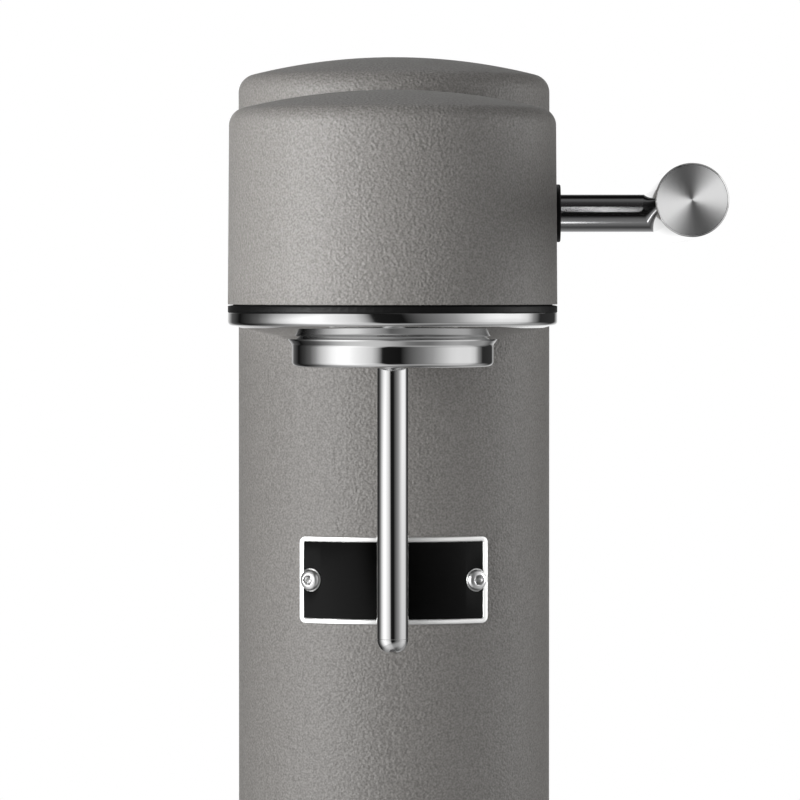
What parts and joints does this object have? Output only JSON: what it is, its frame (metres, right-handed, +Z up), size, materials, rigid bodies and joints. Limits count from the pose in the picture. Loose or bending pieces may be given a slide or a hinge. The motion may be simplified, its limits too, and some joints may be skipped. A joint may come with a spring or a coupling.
{
  "type": "sparkling water maker",
  "caption": "Countertop sparkling water maker: grey powder coated column and domed head, polished nozzle plate and cup, steel nozzle, side lever, drip tray.",
  "frame": {"origin": "on the worktop, under the bottle's axis, where the rubber sole rests", "axes": "+Z up along the nozzle, front faces -Y, the lever is on the +X side"},
  "size_m": [0.1538, 0.258, 0.413],
  "materials": {
    "powder_coat": "fine textured powder coat, warm grey",
    "polished_steel": "mirror polished",
    "dark_chrome": "polished, slightly darker",
    "brushed_steel": "brushed sheet",
    "black_rubber": "matt moulded",
    "sole_rubber": "matt moulded",
    "black_plastic": "moulded, matt",
    "frame_steel": "zinc plated sheet",
    "spring_steel": "drawn wire",
    "brass": "machined",
    "cylinder_aluminium": "drawn, brushed",
    "red_plastic": "moulded, matt",
    "badge_black": "gloss enamel",
    "screw_steel": "machined, bright"
  },
  "bodies": {
    "housing": {"column_shell": "powder_coat", "head_shell": "powder_coat", "head_gasket": "black_rubber", "trim_plate": "polished_steel", "bottle_cup": "polished_steel", "bottle_collar": "black_plastic", "bottle_seal": "black_rubber", "nozzle_block": "black_plastic", "nozzle_tube": "polished_steel", "nozzle_tip": "polished_steel", "head_frame": "frame_steel", "spine_frame": "frame_steel", "shaft_grommet": "black_rubber", "bush_outer": "brass", "bush_inner": "brass", "return_spring": "spring_steel", "rocker_pin": "frame_steel", "pin_clips": "spring_steel", "valve_block": "brass", "valve_seal": "black_rubber", "gas_cylinder": "cylinder_aluminium", "cylinder_valve": "brass", "cylinder_guide": "black_plastic", "hose_outlet": "brass", "hose_inlet": "brass", "gas_hose": "black_rubber", "relief_valve": "brass", "relief_cap": "red_plastic", "base_shell": "powder_coat", "base_pan": "frame_steel", "foot_sole": "sole_rubber", "base_screws": "frame_steel", "badge_plate": "polished_steel", "badge_inlay": "badge_black", "badge_screws": "screw_steel", "trim_screws": "frame_steel", "spine_screws": "frame_steel", "valve_screws": "frame_steel"},
    "lever": {"lever_shaft": "dark_chrome", "lever_handle": "polished_steel", "lever_cam": "frame_steel", "cam_pin": "spring_steel"},
    "rocker": {"rocker_arm": "frame_steel"},
    "valve_pin": {"valve_plunger": "brass"},
    "tray": {"drip_tray": "brushed_steel"}
  },
  "joints": [
    {"name": "lever_pull", "type": "hinge", "parent": "housing", "child": "lever", "pos_m": [0, 0.028, 0.3611], "axis": [1, 0, 0], "range_deg": [0, 60], "stiffness_Nm_per_rad": 0.35, "springref_deg": -34.38},
    {"name": "rocker_tip", "type": "hinge", "parent": "housing", "child": "rocker", "pos_m": [0, 0.104, 0.38], "axis": [1, 0, 0], "range_deg": [-3.28, 0]},
    {"name": "pin_press", "type": "slide", "parent": "housing", "child": "valve_pin", "axis": [0, 0, -1], "range_m": [0, 0.00205]},
    {"name": "tray_lift", "type": "slide", "parent": "housing", "child": "tray", "axis": [0, 0, 1], "range_m": [0, 0.06]}
  ],
  "couplings": [
    {"joint": "rocker_tip", "follows": "lever_pull", "ratio": -0.053079},
    {"joint": "pin_press", "follows": "lever_pull", "m_per_rad": 0.0019099}
  ]
}
